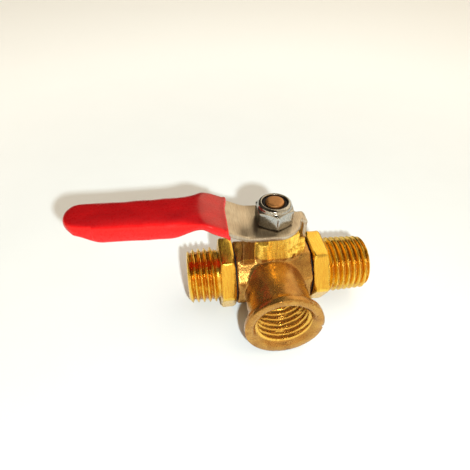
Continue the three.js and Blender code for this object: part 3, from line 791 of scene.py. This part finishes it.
def fold(reach, y):
    """Drop and slope of the steel's folded long edges."""
    runout = 1 - FOLD_LOSS * ease(FOLD_FADE, LEVER_REACH, reach)
    depth = EDGE_FOLD * ease(FOLD_START, FOLD_END, reach) * runout
    side = half_width(reach)
    out = np.minimum(np.abs(y) / side, 1)
    slope = depth * FOLD_POWER * out ** (FOLD_POWER - 1) / side
    drop = depth * out ** FOLD_POWER + slope * np.maximum(np.abs(y) - side, 0)
    return drop, slope


def strip_outline(x, y, z):
    """Signed distance to the edge of the lever's steel, square to the folded sheet."""
    reach = -x
    side = half_width(reach)
    drop, slope = fold(reach, side)
    below_edge = PLATE_TOP + plate_rise(reach) - drop - z
    sides = (np.abs(y) - side + slope * below_edge) / np.sqrt(1 + slope ** 2)
    head = np.hypot(x, y) - HEAD_R
    tip_start = LEVER_REACH - TIP_LENGTH
    into = np.maximum(0, reach - tip_start) * NARROWEST / TIP_LENGTH
    tip = (into ** TIP_POWER + np.abs(y) ** TIP_POWER) ** (1 / TIP_POWER) - NARROWEST
    body = np.where(reach < 0, head, sides)
    return np.where(reach > tip_start, np.maximum(tip, sides), body)


def strip_height(x, y, z):
    """Height above the middle of the steel, square to the sheet."""
    reach = -x
    rise = plate_rise(reach)
    drop, slope_across = fold(reach, y)
    slope_along = np.gradient(rise.ravel(), reach.ravel()).reshape(reach.shape)
    steepness = np.sqrt(1 + slope_along ** 2 + slope_across ** 2)
    return (z - PLATE_TOP - rise + drop) / steepness + PLATE / 2


def plate_field(x, y, z):
    """Steel strip with its stop tab bent down and the hole with two flats for the stem."""
    height = np.abs(strip_height(x, y, z)) - PLATE / 2
    steel = common(strip_outline(x, y, z), height, 0.3)
    tab = common(between(x, TAB_OUTER - PLATE, TAB_OUTER), between(y, *TAB_SIDES), 0.25)
    tab = common(tab, between(z, TAB_BOTTOM, PLATE_TOP - 0.25), 0.3)
    root = common(between(x, 3.2, TAB_OUTER - 0.1), between(y, *TAB_SIDES), 0.25)
    root = common(root, between(z, PLATE_BOTTOM, PLATE_TOP), 0.3)
    bend = (z - PLATE_TOP + x - TAB_OUTER + TAB_BEND) * 0.7
    tab = common(join(tab, root, 0.4), bend, 0.3)
    steel = join(steel, tab, 0.25)
    hole = common(np.hypot(x, y) - (STUD_R + 0.05), np.abs(y) - FLATS_HOLE_HALF, 0.1)
    return cut(steel, hole, 0.1)


SLEEVE_GAP = 0.03                 # clearance between the steel and the vinyl
SLEEVE_CROWN = 0.12
MOUTH_SLANT = 0.7                 # how far the mouth leans back at the rear edge
DRIP = 0.45                       # length of the drip at the mouth's front corner
BEAD = 0.16                       # height of the rolled lip at the mouth


def sleeve_field(x, y, z):
    """Vinyl skin over the steel, crowned, with a rolled lip and a drip at its mouth."""
    reach = -x
    height = strip_height(x, y, z)
    thick = PLATE / 2 + VINYL + 0.1 * ease(30, 43, reach)
    crown = SLEEVE_CROWN * (1 - (y / SHOULDER) ** 2) * ease(14, 24, reach)
    outer = common(strip_outline(x, y, z) - VINYL, np.abs(height) - thick - crown, 1.25)
    mouth = -GRIP_MOUTH + 0.25 - MOUTH_SLANT * ease(1, HEAD_R, y)
    drip = DRIP * np.exp(-((y + HEAD_R + 0.2) / 1.1) ** 2) * ease(0.6, -0.9, height)
    edge = (mouth - drip) - reach
    bead = BEAD * np.exp(-((edge + 0.35) / 0.4) ** 2)
    wobble = 0.03 * lumps(x, y, z, 5.0, 11)
    outer = common(outer - bead + wobble, edge, 0.3)
    skin = np.abs(height) - PLATE / 2 - SLEEVE_GAP
    hollow = common(strip_outline(x, y, z) - SLEEVE_GAP, skin, 0.3)
    return cut(outer, hollow, 0.05)


# ---- Lock nut ----------------------------------------------------------------------------------

NUT_HEX_HEIGHT = 4.0
NUT_MOUTH_R = 2.85                # pocket that holds the insert
STEP_R = 3.35                     # rolled lip on top of the collar


def nut_field(x, y, z):
    """Hex with both faces chamfered, a round collar and a rolled lip round the insert."""
    radius = np.hypot(x, y)
    hex_top = NUT_BOTTOM + NUT_HEX_HEIGHT
    hexagon = polygon(x, y, 6, NUT_AF, 0, 0.22)
    hexagon = common(hexagon, between(z, NUT_BOTTOM, hex_top), 0.15)
    upper = (radius - NUT_AF / 2 - (hex_top - z) * 1.5) * 0.55
    lower = (radius - NUT_AF / 2 - (z - NUT_BOTTOM) * 1.7) * 0.51
    hexagon = common(hexagon, common(upper, lower, 0.1), 0.12)
    collar = ring(z, radius, NUT_BOTTOM + 2, NUT_TOP - 0.1, 0, NUT_AF / 2 - 0.2, 0.55)
    step = ring(z, radius, NUT_TOP - 0.9, NUT_TOP, 2.5, STEP_R, 0.34)
    solid = join(join(hexagon, collar, 0.25), step, 0.2)
    hole = radius - (STUD_R + 0.04)
    pocket = common(radius - NUT_MOUTH_R, NUT_TOP - 1.5 - z, 0.1)
    return cut(cut(solid, hole, 0.1), pocket, 0.25)


def insert_field(x, y, z):
    """Nylon ring in the collar, round the stem's tip."""
    radius = np.hypot(x, y)
    solid = ring(z, radius, NUT_TOP - 1.45, NUT_TOP - 0.35, STUD_TIP_R + 0.03, 2.83, 0.18)
    stud = turned(z, radius, [
        (0, STUD_R + 0.03), (NUT_TOP - 1.7, STUD_R + 0.03),
        (NUT_TOP - 1.05, STUD_TIP_R + 0.04), (30, STUD_TIP_R + 0.04)])
    return cut(solid, stud, 0.05)


# ---- The pieces --------------------------------------------------------------------------------

def run_piece(name, node, material, field, side, near, far, radius, step):
    """Fixed piece on the run's left (-1) or right (1), between two distances from the stem."""
    start, end = sorted((side * near, side * far))
    piece(name, "valve", [node], material, field,
          (start, -radius, -radius), (end, radius, radius), step)


def stem_piece(name, body, node, material, field, radius, low, high, step):
    """Piece round the stem's axis, between two heights."""
    piece(name, body, [node], material, field,
          (-radius, -radius, low), (radius, radius, high), step)


def build_body():
    piece("valve_body_forging", "valve", ["valve_body"], FORGED, body_field,
          (BODY_LEFT - 1, BRANCH_FACE - 0.8, BODY_LOW - 0.8),
          (BODY_RIGHT + 1, BODY_BACK + 1, STOP_TOP + 1), 0.13)


def build_connectors():
    for side, name, hex_end in (
            (-1, "left_end_connector", LEFT_HEX_END), (1, "right_end_connector", RIGHT_HEX_END)):
        reach = span(name, 0)[1] if side > 0 else -span(name, 0)[0]
        run_piece(name + "_turned", name, TURNED,
                  connector_field(side, reach, hex_end), side, TAIL_END - 0.6, reach + 0.6, 9.6, 0.12)


def build_seals_and_seats():
    for side, word in ((-1, "left"), (1, "right")):
        run_piece(word + "_sealing_ring", word + "_body_seal", RUBBER,
                  seal_field(side), side, SEAL_NEAR - 0.3, SEAL_FAR + 0.3, SEAL_R + 0.5, 0.08)
        run_piece(word + "_seat_ring", word + "_ball_seat", WHITE,
                  seat_field(side), side, SEAT_NEAR - 0.3, SEAT_FAR + 0.3, SEAT_R + 0.5, 0.1)
    stem_piece("thrust_washer", "valve", "stem_thrust_washer", WHITE,
               washer_field, 4.3, WASHER_BOTTOM - 0.3, WASHER_TOP + 0.3, 0.07)


def build_ball_and_stem():
    stem_piece("bored_ball", "flow_ball", "ball", CHROME, ball_field, 6, -6, 6, 0.1)
    piece("turned_stem", "handle", ["stem"], STEM, stem_field,
          (-5.6, -4.1, STEM_LOW - 0.4), (5.6, 4.1, STEM_TOP + 0.4), 0.08)
    for word in ("lower", "upper"):
        node = "stem_o_ring_" + word
        low, high = span(node, 2)
        stem_piece("o_ring_" + word, "handle", node, RUBBER,
                   o_ring_field(node), 3.4, low - 0.3, high + 0.3, 0.06)


def build_lever():
    piece("lever_strip", "handle", ["lever_plate"], STEEL, plate_field,
          (PLATE_END - 0.5, -6.8, TAB_BOTTOM - 0.5), (TAB_OUTER + 0.5, 6.8, PLATE_TOP + 5.8), 0.12)
    piece("vinyl_grip", "handle", ["lever_grip_sleeve"], RED, sleeve_field,
          (GRIP_END - 0.7, -7.6, PLATE_BOTTOM - 1.2), (GRIP_MOUTH + 2, 7.6, PLATE_TOP + 6.4), 0.14, 0.02)
    stem_piece("lock_nut_plated", "handle", "lock_nut", ZINC,
               nut_field, 5, NUT_BOTTOM - 0.4, NUT_TOP + 0.4, 0.08)
    stem_piece("locking_ring", "handle", "nut_nylon_insert", NYLON,
               insert_field, 3.4, NUT_TOP - 1.8, NUT_TOP, 0.06)


# ---- Stage, light and camera -------------------------------------------------------------------

FLOOR_HALF = 3.0                  # metres


def floor():
    """Pale floor, a little darker near the valve."""
    mesh = bpy.data.meshes.new("floor")
    corners = [(FLOOR_HALF * a, FLOOR_HALF * b, 0) for a, b in ((-1, -1), (1, -1), (1, 1), (-1, 1))]
    mesh.from_pydata(corners, [], [(0, 1, 2, 3)])
    n = Nodes("pale floor")
    grain = n.noise((0.05, 0.05, 0.05), detail=2)
    away = n.add("ShaderNodeVectorMath", operation="LENGTH")
    n.link(n.scaled(1, 1, 1), away.inputs[0])
    near = n.ramp(grain, (0.2, (0.70, 0.715, 0.72)), (0.8, (0.72, 0.735, 0.74)))
    colour = n.mix(n.fade(away.outputs["Value"], 50, 230), near, (0.965, 0.98, 0.985))
    rough = n.ramp(grain, (0.2, 0.7), (0.8, 0.8))
    mesh.materials.append(n.finish(0.0, colour, rough, n.bump(grain, 0.01, 0.1)))
    plane = bpy.data.objects.new("floor", mesh)
    plane.location = (0, 0, cad_bounds[0][2] - 0.00002)
    bpy.context.scene.collection.objects.link(plane)


def surroundings():
    """A warm room: bright low in front, and a dome that is bright on the right and dim on the left."""
    world = bpy.data.worlds.new("room")
    bpy.context.scene.world = world
    world.use_nodes = True
    tree = world.node_tree
    background = tree.nodes["Background"]
    place = tree.nodes.new("ShaderNodeTexCoord")
    split = tree.nodes.new("ShaderNodeSeparateXYZ")
    tree.links.new(place.outputs["Generated"], split.inputs[0])

    def ramp(*stops):
        """Level against height, from 0 at the horizon to 1 overhead."""
        node = tree.nodes.new("ShaderNodeValToRGB")
        node.color_ramp.interpolation = "EASE"
        while len(node.color_ramp.elements) < len(stops):
            node.color_ramp.elements.new(0.5)
        for element, (where, level) in zip(node.color_ramp.elements, stops):
            element.position = where
            element.color = (level, level, level, 1)
        tree.links.new(split.outputs["Z"], node.inputs["Fac"])
        return node.outputs["Color"]

    def across(axis, low, high, at_low, at_high):
        """Level that changes smoothly between two places along an axis."""
        node = tree.nodes.new("ShaderNodeMapRange")
        node.interpolation_type = "SMOOTHSTEP"
        sockets = ("From Min", "From Max", "To Min", "To Max")
        for socket, value in zip(sockets, (low, high, at_low, at_high)):
            node.inputs[socket].default_value = value
        tree.links.new(split.outputs[axis], node.inputs["Value"])
        return node.outputs["Result"]

    def maths(operation, a, b):
        node = tree.nodes.new("ShaderNodeMath")
        node.operation = operation
        tree.links.new(a, node.inputs[0])
        tree.links.new(b, node.inputs[1])
        return node.outputs[0]

    overhead = ramp((0.0, 0.3), (0.3, 1.0), (0.75, 1.15), (1.0, 0.8))
    dome = maths("MULTIPLY", overhead, across("X", 0.1, 0.24, 0.07, 1.3))
    dome = maths("MULTIPLY", dome, across("Y", -0.35, 0.35, 0.5, 1.0))
    low = ramp((0.0, 1.0), (0.46, 1.15), (0.62, 0.0))
    low_front = maths("MULTIPLY", low, across("Y", -0.35, 0.2, 1.0, 0.0))
    tree.links.new(maths("MAXIMUM", dome, low_front), background.inputs["Strength"])
    background.inputs["Color"].default_value = (1.0, 0.82, 0.58, 1)


def area_light(name, place, size, power, colour, glossy):
    """Square light at `place` (mm from the ball's centre), facing the ball, with no falloff.

    A glossy light only shows in reflections, and any other only lights matt surfaces.
    """
    data = bpy.data.lights.new(name, "AREA")
    data.energy = power
    data.size = size * MM
    data.color = colour
    data.use_nodes = True
    tree = data.node_tree
    falloff = tree.nodes.new("ShaderNodeLightFalloff")
    falloff.inputs["Strength"].default_value = 1.0
    tree.links.new(falloff.outputs["Constant"], tree.nodes["Emission"].inputs["Strength"])
    light = bpy.data.objects.new(name, data)
    light.visible_glossy = glossy
    light.visible_diffuse = not glossy
    light.location = CENTRE + Vector(place) * MM
    light.rotation_euler = (CENTRE - light.location).to_track_quat("-Z", "Y").to_euler()
    bpy.context.scene.collection.objects.link(light)


EYE = (-17.8, -68.8, 71.2)        # mm from the ball's centre
LENS = 30.36
TURN = math.radians(-7.5)
DOWN = math.radians(40.4)
ROLL = math.radians(0.3)


def camera():
    data = bpy.data.cameras.new("camera")
    data.sensor_width = 36
    data.lens = LENS
    data.clip_start = 0.002
    eye = bpy.data.objects.new("camera", data)
    place = Matrix.Translation(CENTRE + Vector(EYE) * MM)
    look = Matrix.Rotation(TURN, 4, "Z") @ Matrix.Rotation(math.pi / 2 - DOWN, 4, "X")
    eye.matrix_world = place @ look @ Matrix.Rotation(ROLL, 4, "Z")
    bpy.context.scene.collection.objects.link(eye)
    bpy.context.scene.camera = eye


camera()
floor()
surroundings()
area_light("key", (-7, -88, 75), 4, 13, (0.85, 0.97, 1.0), False)
area_light("glint", (-7, -88, 75), 16, 1.5, (1.0, 0.97, 0.9), True)
area_light("fill", (0, 60, 600), 800, 4.4, (1.0, 0.96, 0.87), False)
bpy.context.scene.view_settings.view_transform = "Standard"
build_body()
build_connectors()
build_seals_and_seats()
build_ball_and_stem()
build_lever()
